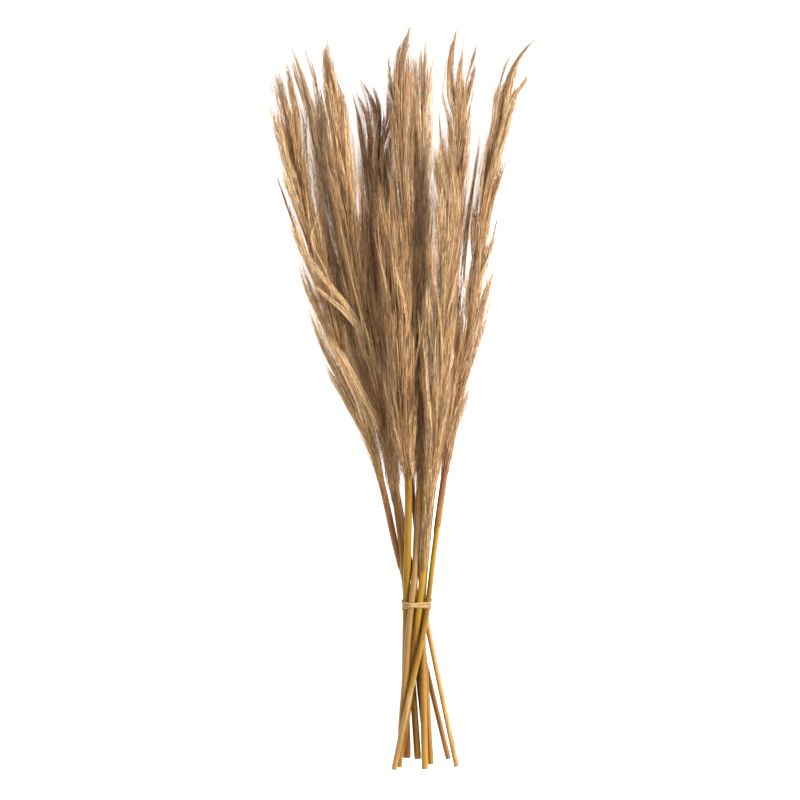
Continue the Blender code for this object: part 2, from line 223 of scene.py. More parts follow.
class Shader:
    """A node material with short calls for the nodes used here."""

    def __init__(self, name, roughness, sheen=0.0):
        self.material = bpy.data.materials.new(name)
        self.material.use_nodes = True
        self.tree = self.material.node_tree
        self.surface = self.tree.nodes["Principled BSDF"]
        self.surface.inputs["Roughness"].default_value = roughness
        self.surface.inputs["Specular IOR Level"].default_value = 0.3
        self.surface.inputs["Sheen Weight"].default_value = sheen
        self.surface.inputs["Sheen Roughness"].default_value = 0.4

    def node(self, kind, **settings):
        made = self.tree.nodes.new(kind)
        for name, value in settings.items():
            setattr(made, name, value)
        return made

    def link(self, source, target):
        self.tree.links.new(source, target)

    def channels(self, attribute):
        """Red, green and blue of a colour attribute."""
        read = self.node("ShaderNodeAttribute", attribute_name=attribute)
        split = self.node("ShaderNodeSeparateColor")
        self.link(read.outputs["Color"], split.inputs["Color"])
        return split.outputs

    def ramp(self, source, stops):
        made = self.node("ShaderNodeValToRGB")
        elements = made.color_ramp.elements
        while len(elements) < len(stops):
            elements.new(0.5)
        for element, (place, colour) in zip(elements, stops):
            element.position = place
            element.color = colour
        self.link(source, made.inputs["Fac"])
        return made.outputs["Color"]

    def mix(self, share, first, second, blend="MIX"):
        made = self.node("ShaderNodeMix", data_type="RGBA", blend_type=blend)
        for place, value in ((0, share), (6, first), (7, second)):
            socket = made.inputs[place]
            if isinstance(value, (float, int, tuple)):
                socket.default_value = value
            else:
                self.link(value, socket)
        return made.outputs[2]

    def multiply(self, first, second):
        return self.mix(1.0, first, second, "MULTIPLY")

    def noise(self, vector, scale, detail=4.0, stretch=(1, 1, 1)):
        place = self.node("ShaderNodeMapping")
        place.inputs["Scale"].default_value = stretch
        self.link(vector, place.inputs["Vector"])
        made = self.node("ShaderNodeTexNoise")
        made.inputs["Scale"].default_value = scale
        made.inputs["Detail"].default_value = detail
        self.link(place.outputs["Vector"], made.inputs["Vector"])
        return made.outputs["Fac"]

    def object_place(self):
        return self.node("ShaderNodeTexCoord").outputs["Object"]

    def bump(self, height, strength, distance):
        made = self.node("ShaderNodeBump")
        made.inputs["Strength"].default_value = strength
        made.inputs["Distance"].default_value = distance
        self.link(height, made.inputs["Height"])
        self.link(made.outputs["Normal"], self.surface.inputs["Normal"])

    def colour(self, source):
        self.link(source, self.surface.inputs["Base Color"])


# -------- meshes in bulk

def unit(vectors):
    return vectors / np.maximum(np.linalg.norm(vectors, axis=-1, keepdims=True), 1e-9)


def tangents(points):
    """Directions along rows of points (rows, stations, 3)."""
    return unit(np.gradient(points, axis=1))


def ribbon_mesh(name, points, width, paint, seed):
    """Hairs as narrow ribbons, each turned at random about itself and tapering to a point.

    points: (hairs, stations, 3) in the frame. width: (hairs, stations).
    paint: (hairs, stations, 3), kept as a colour attribute.
    """
    rng = np.random.default_rng(seed)
    count, stations = points.shape[:2]
    across = unit(np.cross(tangents(points), unit(rng.normal(size=(count, 1, 3)))))
    half = across[:, :-1] * width[:, :-1, None] / 2
    pairs = np.stack([points[:, :-1] - half, points[:, :-1] + half], axis=2)
    verts = np.concatenate([pairs.reshape(count, -1, 3), points[:, -1:]], axis=1)
    shades = np.concatenate([np.repeat(paint[:, :-1], 2, axis=1), paint[:, -1:]], axis=1)
    corners, sizes, cells = ribbon_faces(stations)
    mesh = bulk_mesh(name, verts, corners, sizes)
    paint_points(mesh, shades.reshape(-1, 3))
    lay_out_ribbons(mesh, count, cells)
    return mesh


def ribbon_faces(stations):
    """One ribbon's corners, the size of each face, and each corner's place in its own cell."""
    quads = [(2 * k, 2 * k + 1, 2 * k + 3, 2 * k + 2) for k in range(stations - 2)]
    tip = 2 * (stations - 1)
    corners = [corner for quad in quads for corner in quad] + [tip - 2, tip - 1, tip]
    cells = [(0.5 if c == tip else c % 2, c // 2 / (stations - 1)) for c in corners]
    return np.array(corners), np.array([4] * len(quads) + [3]), np.array(cells)


def bulk_mesh(name, verts, corners, sizes):
    """Many copies of one face pattern: verts is (copies, points, 3)."""
    copies, per = verts.shape[:2]
    mesh = bpy.data.meshes.new(name)
    mesh.vertices.add(copies * per)
    mesh.vertices.foreach_set("co", verts.astype(np.float32).ravel())
    index = (np.arange(copies)[:, None] * per + corners[None]).ravel()
    starts = np.cumsum(np.tile(sizes, copies)) - np.tile(sizes, copies)
    mesh.loops.add(len(index))
    mesh.loops.foreach_set("vertex_index", index.astype(np.int32))
    mesh.polygons.add(len(starts))
    mesh.polygons.foreach_set("loop_start", starts.astype(np.int32))
    mesh.update(calc_edges=True)
    mesh.shade_smooth()
    return mesh


def paint_points(mesh, shades):
    colour = mesh.color_attributes.new(name="paint", type="FLOAT_COLOR", domain="POINT")
    colour.data.foreach_set("color", np.c_[shades, np.ones(len(shades))].ravel())


def lay_out_ribbons(mesh, count, cells):
    """A map with a tall narrow cell for each ribbon."""
    columns = math.ceil(math.sqrt(count * 5))
    rows = math.ceil(count / columns)
    number = np.arange(count)
    corner = np.stack([number % columns, number // columns], axis=-1)[:, None]
    places = (corner + 0.08 + 0.84 * cells[None]) / np.array((columns, rows))
    layer = mesh.uv_layers.new(name="OFBake")
    layer.data.foreach_set("uv", places.ravel())


def add_object(name, data):
    made = bpy.data.objects.new(name, data)
    bpy.context.scene.collection.objects.link(made)
    return made


def add_piece(name, mesh, node):
    """A piece of the bundle that stands for one node of the solid model."""
    piece = add_object(name, mesh)
    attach(piece, "root")
    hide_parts(node)


# -------- plumes

HAIR_STATIONS = 5
WISPS_PER_LOCK = 11
STRANDS_PER_WISP = 8
HAIRS_PER_PLUME = 10600
STRAY_HAIRS = 900
TIP_HAIRS = 460
COLLAR_HAIRS = 380
COLLAR_BRUSH = (16.0, 22.0)  # short hair roots from this far below the collar to this far above
BARE_COLLARS = {"09": 2.0, "05": 2.0}  # on these it starts only this far below
FUZZY_SHEATHS = {"03": 200, "10": 240}  # number of short hairs on the leaf sheath
FLOOR_CLEAR = 0.4  # hair keeps this far above the surface
PAST_BOX = (12.0, 20.0, 6.0)  # and passes the model's box by no more than this on each axis

# a lock parts into wisps, which reach out and end by shares of their own, fan out and curl
LOCK_RISE = (0.15, 1.43, -0.58)  # how far out along a lock: constant, linear and square part
LOCK_TIGHT = 0.35  # a frayed lock holds together this much closer
CANE_CLEAR = 60.0  # hair keeps off the cane over this length
WISP_TURN = 0.36
WISP_REACH = (0.45, 1.26)
WISP_END = (0.55, 1.14)
WISP_FAN = 3.4
WISP_CURL = 2.4
# a wisp parts into strands, which wave, and a strand into hairs
STRAND_OFF = 2.8
STRAND_END = (0.8, 1.07)
STRAND_WAVE = (0.2, 0.9)
STRAND_PITCH = (22.0, 60.0)
HAIR_SHARE = (0.18, 0.46)  # length of a hair as a share of its lock
HAIR_FIRST = -0.04  # the lowest place along its lock where hair starts
HAIR_OFF = 0.45
HAIR_PART = 1.5  # a hair's tip parts from its strand by up to this
HAIR_BOW = 0.8
HAIR_TAPER = 0.6

FINE_HAIR = (0.2, 0.4)  # widths
COARSE_HAIR = (0.45, 0.75)
COARSE_SHARE = 0.18
COLLAR_HAIR = (0.2, 0.42)
TRESS_HAIR = (0.18, 0.4)
STRAY_WIDTH, TIP_WIDTH = 0.24, 0.19
STRAY_LENGTH = (14.0, 44.0)
STRAY_REACH = (0.8, 1.05)  # where it starts, as a share of the way out
STRAY_OFF = (0.5, 6.0)  # how far its tip stands off
TIP_ROOT = (-70.0, -14.0)  # from the culm's tip
TIP_END = -30.0  # most end here, and fewer and fewer of them run on
TIP_RUN, TIP_RARE = 50.0, 2.6
TIP_SPREAD = 4.6
COLLAR_LENGTH = (16.0, 48.0)
COLLAR_RISE = (0.3, 4.2)

LOCK_TONE, WISP_TONE, STRAND_TONE, HAIR_TONE = 0.06, 0.08, 0.22, 0.16  # spread of each
SINGLE_TONE = 0.15  # and of the single hairs
PAINTED_DEPTH_SHADE = 0.55  # painted shade: hair deep in a plume is darker by this much, and hair near its outside is lighter by painted light
DEPTH_EVEN = 0.66
PAINTED_FLANK_SHADE = 0.7  # painted shade on hair along its sides too
FRAYED_TONE = {"01": 0.25}  # the frayed locks of this plume are lighter

TUFT_LENGTH = 85.0  # the top of a plume parts into tufts over this length
OPEN_TOP = 45.0
TUFT_CLOSE = 2.3  # how late hair closes on its tuft
TUFT_OPEN = 0.2  # added to every tuft's radius
TUFT_TAPER = (1.3, 0.7)  # the radius at its foot, and how much less at its end
TUFT_RISE = 0.74  # hair is drawn up toward the tufts' ends
# the tufts of each plume from left to right: how far aside and above the culm's tip each ends,
# its share of the hair, its radius and how late it bends aside
TUFTS = {
    "01": ((-9, 2, 0.08, 1.2, 0.8), (-3.2, 1, 0.5, 4.2, 0.8), (-1, 17, 0.03, 0.5, 2),
           (8, 5, 0.39, 3.4, 0.7)),
    "02": ((-6, -3, 0.16, 0.9, 1.4), (-3, 11, 0.22, 0.9, 1.4), (1, -20, 0.26, 2.6, 1),
           (8, 15, 0.16, 0.8, 0.8), (14, -4, 0.2, 1.2, 1)),
    "03": ((-2.5, -7, 0.46, 3, 1.2), (1, -3, 0.26, 1, 1.4), (5, -24, 0.26, 1.4, 1),
           (13, -6, 0.02, 0.3, 4)),
    "04": ((-15, -15, 0.18, 1.8, 1.4), (-5, -3, 0.34, 2.2, 2), (5, -6, 0.22, 2, 2),
           (18, -12, 0.26, 2.6, 1.4)),
    "05": ((-14, -29, 0.12, 1.5, 0.8), (-5, -15, 0.2, 1.4, 1.2), (1, -3, 0.48, 2.6, 1.6),
           (9, -26, 0.12, 1.4, 1), (13, 7, 0.08, 0.5, 2.6)),
    "06": ((-9, -18, 0.34, 2.8, 1), (-4, -10, 0.28, 2, 1), (1, 0, 0.32, 1.8, 1),
           (11, -14, 0.06, 0.5, 1.2)),
    "07": ((-9, 2, 0.32, 1.5, 0.4), (0, -14, 0.3, 1.8, 1), (14, -13, 0.38, 1.6, 1.1)),
    "08": ((-15, -16, 0.2, 0.9, 1.4), (-2, -11, 0.26, 0.9, 1.2), (1, 0, 0.28, 0.7, 1.4),
           (12, -40, 0.26, 1.4, 1.4)),
    "09": ((-11, -8, 0.16, 1, 1.4), (-5, -1, 0.34, 2.2, 1.2), (5, -9, 0.28, 2.4, 1.2),
           (13, -28, 0.22, 2.6, 1)),
    "10": ((-8, -20, 0.26, 2, 1.2), (0, 0, 0.46, 2.4, 1.2), (7, -14, 0.28, 2, 1.2)),
}

Tress = namedtuple("Tress", "hairs loose tone faded points")
# strands that leave a plume by themselves, with points (x, s, z)
# faded: the share of painted grey brown shade that the strand's hairs get toward their ends
TRESSES = {
    "01": (
        Tress(190, 4.6, 0.52, 0, ((-46, 430, 55), (-72, 460, 60), (-88, 473, 58), (-104, 486, 53))),
        Tress(150, 4, 0.46, 0, ((-50, 432, 54), (-72, 468, 61), (-95, 494, 57), (-103, 512, 52))),
        Tress(60, 1.1, 0.5, 0, ((-82, 479, 62), (-93, 507, 57), (-103, 523, 51), (-106, 536, 48),
                                   (-95, 557, 48))),
        Tress(420, 7.5, 0.36, 0, ((-42, 345, 52), (-60, 384, 58), (-74, 412, 57), (-90, 433, 52))),
        Tress(50, 1.4, 0, 0.7, ((-120, 539, 32), (-131, 570, 31), (-142, 601, 30))),
        Tress(60, 1.4, -0.1, 0.7, ((-116, 522, 34), (-122, 545, 33), (-128, 566, 32))),
        Tress(26, 0.8, -0.2, 0.6, ((-78, 391, 46), (-84, 395, 46), (-90, 402, 46))),
        Tress(5, 2, -0.1, 0.9, ((-54, 302, 40), (-64, 320, 40), (-72, 340, 40)))),
    "02": (Tress(30, 1, 0, 0.6, ((-108, 600, 14), (-111, 630, 14), (-110, 676, 13))),
           Tress(420, 7, 0, 0.1, ((-62, 400, 22), (-86, 510, 22), (-102, 612, 18)))),
    "03": (Tress(60, 1.2, 0.3, 0, ((-52, 440, 62), (-58, 470, 62), (-67, 500, 60))),
           Tress(50, 1, 0.25, 0, ((-40, 400, 60), (-48, 436, 62), (-56, 462, 62)))),
    "04": (Tress(520, 8, 0, 0.1, ((-22, 360, 22), (-38, 470, 22), (-50, 610, 20))),
           Tress(300, 4.5, 0.1, 0.1, ((-42, 420, 24), (-49, 510, 24), (-57, 622, 20))),
           Tress(300, 6, 0, 0.1, ((-18, 400, 22), (-27, 520, 22), (-27, 660, 20))),
           Tress(200, 5, -0.1, 0.3, ((-40, 540, 19), (-52, 620, 18), (-58, 662, 17))),
           Tress(60, 2, -0.2, 0.6, ((-50, 600, 18), (-56, 650, 17), (-65, 684, 17)))),
    "06": (Tress(260, 5, 0, 0.2, ((0, 520, 17), (-2, 610, 17), (-4, 700, 16))),),
    "07": (Tress(50, 1.4, -0.1, 0.6, ((30, 580, 17), (26, 620, 17), (22, 668, 17))),),
    "08": (
        Tress(36, 1.2, -0.1, 0.7, ((76, 528, 20), (80, 545, 20), (84, 562, 20))),
        Tress(40, 1, 0, 0.7, ((64, 470, 26), (74, 490, 26), (86, 516, 24))),
        Tress(14, 0.8, -0.2, 0.9, ((60, 438, 28), (76, 470, 26), (89, 499, 24))),
        Tress(150, 2.4, -0.15, 0.6, ((47, 500, 20), (53, 560, 18), (66, 640, 15)))),
    "09": (Tress(36, 0.8, 0.3, 0, ((-29, 480, 88), (-35, 507, 87), (-43, 538, 80))),
           Tress(60, 1.3, 0.25, 0, ((-8, 440, 90), (-12, 470, 90), (-22, 505, 88)))),
    "10": (Tress(24, 0.8, 0.25, 0, ((-1, 405, 70), (3, 428, 70), (8, 453, 70))),
           Tress(60, 1.3, 0.25, 0, ((26, 400, 72), (25, 440, 73), (20, 480, 71)))),
}
TRESS_STATIONS = 41
TRESS_PASSES = 30
TRESS_CLUMPS = 14
TRESS_BEGIN, TRESS_FINISH = (-0.12, 0.5), (0.55, 1.08)  # along the strand
TRESS_OFF = (0.35, 0.55)  # how far its hairs part at root and tip, as a share of its radius
TRESS_RIPPLE = 27.0

THIN_HAIR_SHADE = srgb(124, 102, 84)  # painted shade: the grey brown of thin single hairs and hair tips, which look darker against the bright floor
# display colours of each plume's dark, middling and light hair, and its mean place between them
Tone = namedtuple("Tone", "dark middle light mean")
TONES = {
    "01": Tone((138, 90, 48), (214, 165, 108), (248, 220, 174), 0.60),
    # 02 lies low under its neighbours: its lighter tones are partly its own pale hair and partly
    #                                   painted light that lifts the shade they cast on it
    "02": Tone((186, 144, 102), (236, 202, 158), (252, 232, 200), 0.68),
    "03": Tone((132, 82, 42), (218, 170, 114), (250, 222, 176), 0.59),
    # 04 lies behind the others: its darker tones are partly its own brown hair and partly painted shade
    "04": Tone((104, 68, 42), (184, 140, 100), (232, 196, 152), 0.56),
    "05": Tone((118, 74, 40), (204, 158, 110), (244, 214, 170), 0.55),
    # 06 lies low too: its lighter tones are partly its own pale hair and partly painted light that
    #                  lifts the shade on it
    "06": Tone((164, 126, 88), (224, 188, 144), (246, 224, 190), 0.66),
    "07": Tone((112, 70, 36), (208, 162, 112), (246, 216, 172), 0.58),
    "08": Tone((132, 88, 50), (218, 174, 122), (248, 220, 178), 0.61),
    "09": Tone((108, 66, 32), (200, 152, 98), (246, 216, 168), 0.53),
    "10": Tone((122, 78, 40), (218, 174, 120), (250, 224, 180), 0.60),
}


def plan_locks(key, culm):
    """The same locks as the solid plume has, one row each: root, end, angle, lift, twist."""
    rng = random.Random(culm.seed)
    start, tip = culm.collar, culm.path[-1][1]
    count = round((tip - start) / LOCK_EVERY)
    locks = []
    for i in range(count):
        place = (i + rng.uniform(-ROOT_STRAY, ROOT_STRAY)) / count
        root = start + max(ROOT_LOW, (tip - start - ROOT_SHORT) * place)
        top = tip - rng.uniform(0.0, LOCK_STAGGER) * (i < count - 1)
        end = min(root + rng.uniform(*LOCK_LENGTH), top)
        angle = GOLDEN_ANGLE * i + rng.uniform(-TURN_STRAY, TURN_STRAY)
        lift = rng.uniform(*LOCK_LIFT)
        if key in FREE_SIDE and i % FRAY_EVERY == 2:
            angle = FREE_SIDE[key] + rng.uniform(-FRAY_TURN, FRAY_TURN)
            lift = FRAY_LIFT
        twist = rng.uniform(-TURN_STRAY, TURN_STRAY)
        locks.append((root, end, angle, lift, twist))
    return np.array(locks)


def column(values):
    return np.asarray(values)[:, None]


def along_hair():
    return np.linspace(0.0, 1.0, HAIR_STATIONS)[None]


def across(angle, reach):
    """Offsets square to the bundle."""
    return np.stack([reach * np.cos(angle), np.zeros_like(reach), reach * np.sin(angle)], axis=-1)


def disc(rng, count, radius):
    """Random offsets in a disc of a given radius: x and z, one row each."""
    angle, reach = rng.uniform(0, 2 * math.pi, count), radius * np.sqrt(rng.random(count))
    return np.stack([reach * np.cos(angle), reach * np.sin(angle)], axis=-1)


def push(points, offsets, share):
    """Move points in x and z by each hair's offset, by a share that changes along the hair."""
    points[..., 0] += column(offsets[:, 0]) * share
    points[..., 2] += column(offsets[:, 1]) * share


def envelope(culm, s):
    """How far out hair lies at a distance s; the top stays open for the tufts."""
    top = culm.path[-1][1] - OPEN_TOP
    return np.maximum(plume_radius(culm, np.minimum(s, top)) - HAIR_ROOM, 0.8)


def share_tufts(key, rng, angles):
    """A tuft for each wisp, dealt from left to right."""
    tufts = np.array(TUFTS[key])
    order = np.argsort(np.argsort(np.cos(angles) + rng.normal(0.0, 0.35, len(angles))))
    edges = np.cumsum(tufts[:, 2]) / tufts[:, 2].sum()
    return tufts[np.searchsorted(edges, (order + 0.5) / len(angles))]


def gather_top(key, culm, points, tufts, own_place):
    """The top of a plume parts into tufts: each hair closes on the line of its own tuft."""
    side, height, _, loose, bend = (column(c) for c in tufts.T)
    start = culm.path[-1][1] - TUFT_LENGTH
    rise = np.clip((points[..., 1] - start) / TUFT_LENGTH, 0.0, None) ** TUFT_RISE
    risen = start + rise * (TUFT_LENGTH + height)
    points[..., 1] = np.where(rise > 0.0, risen, points[..., 1])
    middle = line_at(key, points[..., 1])
    close = np.minimum(rise, 1.0) ** TUFT_CLOSE
    for axis in (0, 2):
        off = points[..., axis] - middle[..., axis]
        own = column(own_place[:, axis // 2]) * (loose + TUFT_OPEN)
        own = own * (TUFT_TAPER[0] - TUFT_TAPER[1] * close)
        points[..., axis] = middle[..., axis] + off * (1.0 - close) + own * close
    points[..., 0] += side * rise ** bend
    return points


Wisps = namedtuple("Wisps", "lock turn reach end fan curl tone tuft")
Strands = namedtuple("Strands", "wisp root tip end tone wave pitch own")


def part_wisps(key, locks, rng):
    """The wisps that locks part into, as arrays with a row for each wisp."""
    frayed = locks[:, 3] == FRAY_LIFT
    lock_tone = rng.normal(0.0, LOCK_TONE, len(locks)) + FRAYED_TONE.get(key, 0.0) * frayed
    lock = np.repeat(np.arange(len(locks)), WISPS_PER_LOCK)
    count = len(lock)
    tight = np.where(frayed[lock], LOCK_TIGHT, 1.0)
    turn = rng.normal(0.0, WISP_TURN, count) * tight
    reach = 1.0 + (rng.uniform(*WISP_REACH, count) ** 0.8 - 1.0) * tight
    end = 1.0 + (rng.uniform(*WISP_END, count) - 1.0) * tight
    fan = disc(rng, count, WISP_FAN)
    curl = rng.normal(0.0, WISP_CURL, (count, 2))
    tone = lock_tone[lock] + rng.normal(0.0, WISP_TONE, count)
    tuft = share_tufts(key, rng, locks[lock, 2] + turn)
    return Wisps(lock, turn, reach, end, fan, curl, tone, tuft)


def part_strands(wisps, rng):
    """The strands that wisps part into, as arrays with a row for each strand."""
    wisp = np.repeat(np.arange(len(wisps.lock)), STRANDS_PER_WISP)
    count = len(wisp)
    root, tip = disc(rng, count, STRAND_OFF), disc(rng, count, STRAND_OFF * 0.75)
    end = wisps.end[wisp] * rng.uniform(*STRAND_END, count)
    tone = wisps.tone[wisp] + rng.normal(0.0, STRAND_TONE, count)
    wave = disc(rng, count, 1.0) * rng.uniform(*STRAND_WAVE, (count, 1))
    pitch = rng.uniform(*STRAND_PITCH, count)
    return Strands(wisp, root, tip, end, tone, wave, pitch, disc(rng, count, 1.0))


def lock_hair(key, culm, rng):
    """Most of a plume's hair: locks part into wisps, wisps into strands, strands into hairs."""
    locks = plan_locks(key, culm)
    wisps = part_wisps(key, locks, rng)
    strands = part_strands(wisps, rng)
    hairs = HAIRS_PER_PLUME
    strand = np.sort(rng.integers(0, len(strands.wisp), hairs))
    wisp = strands.wisp[strand]
    v = along_hair()
    long = rng.uniform(*HAIR_SHARE, hairs)
    room = strands.end[strand] - HAIR_FIRST - long
    begin = HAIR_FIRST + rng.random(hairs) ** 0.9 * room
    share = column(begin) + column(long) * v
    root, end, angle, lift, twist = (column(c) for c in locks[wisps.lock[wisp]].T)
    s = root + (end - root) * share
    first, linear, square = LOCK_RISE
    reach = envelope(culm, s) * (first + linear * share + square * share ** 2) * lift
    off_cane = (culm.cane + 0.5) * (s < culm.collar + CANE_CLEAR)
    reach = np.maximum(reach * column(wisps.reach[wisp]), off_cane)
    points = line_at(key, s) + across(angle + twist * share + column(wisps.turn[wisp]), reach)
    push(points, wisps.fan[wisp], 0.3 + 0.8 * share)
    push(points, wisps.curl[wisp], share ** 3)
    push(points, strands.root[strand], 1.0 - share)
    push(points, strands.tip[strand], share)
    waves = 2 * math.pi * s / column(strands.pitch[strand]) + column(strand)
    push(points, strands.wave[strand], np.sin(waves))
    push(points, disc(rng, hairs, HAIR_OFF), 1.0 - v)
    push(points, disc(rng, hairs, HAIR_PART), v ** 1.5)
    push(points, disc(rng, hairs, HAIR_BOW), np.sin(math.pi * v))
    own_place = strands.own[strand] + disc(rng, hairs, 0.35)
    points = gather_top(key, culm, points, wisps.tuft[wisp], own_place)
    wide = np.where(rng.random(hairs) < COARSE_SHARE, rng.uniform(*COARSE_HAIR, hairs),
                    rng.uniform(*FINE_HAIR, hairs))
    return points, wide, strands.tone[strand] + rng.normal(0.0, HAIR_TONE, hairs)


def stray_hair(key, culm, rng):
    """Single thin hairs that stand off the plume."""
    hairs = STRAY_HAIRS
    v = along_hair()
    root = rng.uniform(culm.collar + 5.0, culm.path[-1][1] - 30.0, hairs)
    s = column(root) + column(rng.uniform(*STRAY_LENGTH, hairs)) * v
    reach = envelope(culm, s) * column(rng.uniform(*STRAY_REACH, hairs))
    reach += column(rng.uniform(*STRAY_OFF, hairs)) * v ** 1.5
    angle = rng.uniform(0, 2 * math.pi, hairs)
    points = line_at(key, s) + across(column(angle + rng.normal(0, 0.25, hairs)) + 0.0 * s, reach)
    points = gather_top(key, culm, points, share_tufts(key, rng, angle), disc(rng, hairs, 2.2))
    return points, np.full(hairs, STRAY_WIDTH), rng.normal(-0.06, SINGLE_TONE, hairs)


def tip_hair(key, culm, rng):
    """Long single hairs that run on past the ends of the tufts."""
    hairs = TIP_HAIRS
    tip = culm.path[-1][1]
    v = along_hair()
    root = rng.uniform(tip + TIP_ROOT[0], tip + TIP_ROOT[1], hairs)
    end = tip + TIP_END + TIP_RUN * rng.random(hairs) ** TIP_RARE
    s = column(root) * (1.0 - v) + column(end) * v
    angle = rng.uniform(0, 2 * math.pi, hairs)
    points = line_at(key, s) + across(column(angle) + 0.0 * s, 3.0 + 0.0 * s)
    tufts = share_tufts(key, rng, angle)
    points = gather_top(key, culm, points, tufts, disc(rng, hairs, 1.3))
    push(points, disc(rng, hairs, TIP_SPREAD), v ** 2)
    return points, np.full(hairs, TIP_WIDTH), rng.normal(0.08, SINGLE_TONE, hairs)


def collar_hair(key, culm, rng):
    """A brush of short hairs round the cane where the plume starts, and on a hairy sheath."""
    below, above = COLLAR_BRUSH
    low = culm.sheath if key in FUZZY_SHEATHS else culm.collar - BARE_COLLARS.get(key, below)
    hairs = COLLAR_HAIRS + FUZZY_SHEATHS.get(key, 0)
    v = along_hair()
    root = low + (culm.collar + above - low) * rng.random(hairs) ** 0.55
    s = column(root) + column(rng.uniform(*COLLAR_LENGTH, hairs)) * v
    rise = column(rng.uniform(*COLLAR_RISE, hairs)) * v ** 1.4
    on_sheath = SHEATH_WALL * (s > (culm.sheath or LENGTH))
    reach = culm.cane + 0.35 + on_sheath + rise * np.clip((s - culm.collar) / 30.0 + 1.0, 0.3, 1.6)
    angle = column(rng.uniform(0, 2 * math.pi, hairs)) + column(rng.normal(0, 0.35, hairs)) * v
    points = line_at(key, s) + across(angle, reach)
    return points, rng.uniform(*COLLAR_HAIR, hairs), rng.normal(0.04, 0.2, hairs)


def tress_hair(tress, rng):
    """Hairs along one loose strand."""
    knots = np.array(tress.points, dtype=float)
    t = np.linspace(0.0, 1.0, TRESS_STATIONS)
    places = np.linspace(0.0, 1.0, len(knots))
    line = smoothed(np.array([np.interp(t, places, axis) for axis in knots.T]), TRESS_PASSES)
    hairs = tress.hairs
    begin, finish = rng.uniform(*TRESS_BEGIN, hairs), rng.uniform(*TRESS_FINISH, hairs)
    share = column(begin) + column(finish - begin) * along_hair()
    points = np.stack([np.interp(share, t, axis) for axis in line], axis=-1)
    points[..., 1] += (share - np.clip(share, 0.0, 1.0)) * np.ptp(knots[:, 1])
    clump = disc(rng, TRESS_CLUMPS, tress.loose)[rng.integers(0, TRESS_CLUMPS, hairs)]
    push(points, clump, 1.0 - 0.6 * share)
    push(points, disc(rng, hairs, tress.loose * TRESS_OFF[0]), 1.0 - share)
    push(points, disc(rng, hairs, tress.loose * TRESS_OFF[1]), share)
    ripple = np.sin(2 * math.pi * (points[..., 1] / TRESS_RIPPLE + column(clump[:, 0])))
    push(points, clump * 0.12, ripple)
    return points, rng.uniform(*TRESS_HAIR, hairs), tress.tone + rng.normal(0.0, 0.2, hairs)


def tone_and_painted_shade(key, culm, points, tone):
    """Tone at each station, with painted shade: darker the deeper a hair lies in its plume and the
    nearer its sides, lighter near its outside.
    """
    middle = line_at(key, points[..., 1])
    off = np.hypot(points[..., 0] - middle[..., 0], points[..., 2] - middle[..., 2])
    radius = np.maximum(plume_radius(culm, points[..., 1]), 7.0)
    depth = np.minimum(off / radius, 1.0)
    flank = np.clip(np.abs(points[..., 0] - middle[..., 0]) / radius - 0.7, 0.0, 0.5)
    # painted shade inside the plume and along its sides, painted light near its outside
    shift = PAINTED_DEPTH_SHADE * (depth - DEPTH_EVEN) - PAINTED_FLANK_SHADE * flank
    return np.clip(TONES[key].mean + column(tone) + shift, 0.0, 1.0)


def plume_hair(key, culm):
    """Every hair of one plume: points in millimetres, widths and paint (tone, place, share of painted
    thin-hair shade).
    """
    rng = np.random.default_rng(100 + culm.seed)
    v = along_hair()
    batches = []
    # each kind of hair gets its share of painted grey brown shade, more toward the tips
    for kind, faded in ((lock_hair, 0.12), (stray_hair, 0.65), (tip_hair, 0.8), (collar_hair, 0.2)):
        points, wide, tone = kind(key, culm, rng)
        shade = tone_and_painted_shade(key, culm, points, tone)
        batches.append((points, wide, shade, faded * (0.3 + 0.7 * v ** 2)))
    for tress in TRESSES.get(key, ()):
        points, wide, tone = tress_hair(tress, rng)
        shade = np.clip(TONES[key].mean + column(tone), 0.0, 1.0)
        batches.append((points, wide, shade, tress.faded * v))
    all_points, widths, shades, thin_shades = zip(*batches)
    paint = [np.stack(np.broadcast_arrays(shade, v, fade), axis=-1)
             for shade, fade in zip(shades, thin_shades)]
    width = column(np.concatenate(widths)) * (1.0 - HAIR_TAPER * v ** 1.3)
    return np.concatenate(all_points), width, np.concatenate(paint)


def within_box(points):
    """Frame points kept above the surface and near the model's box."""
    low, high = (np.array(corner) for corner in CAD_BOX)
    past = np.array(PAST_BOX) * MM
    low_limit = np.array((low[0] - past[0], low[1] - past[1], FLOOR_CLEAR * MM))
    high_limit = high + past
    return np.clip(points, low_limit, high_limit)


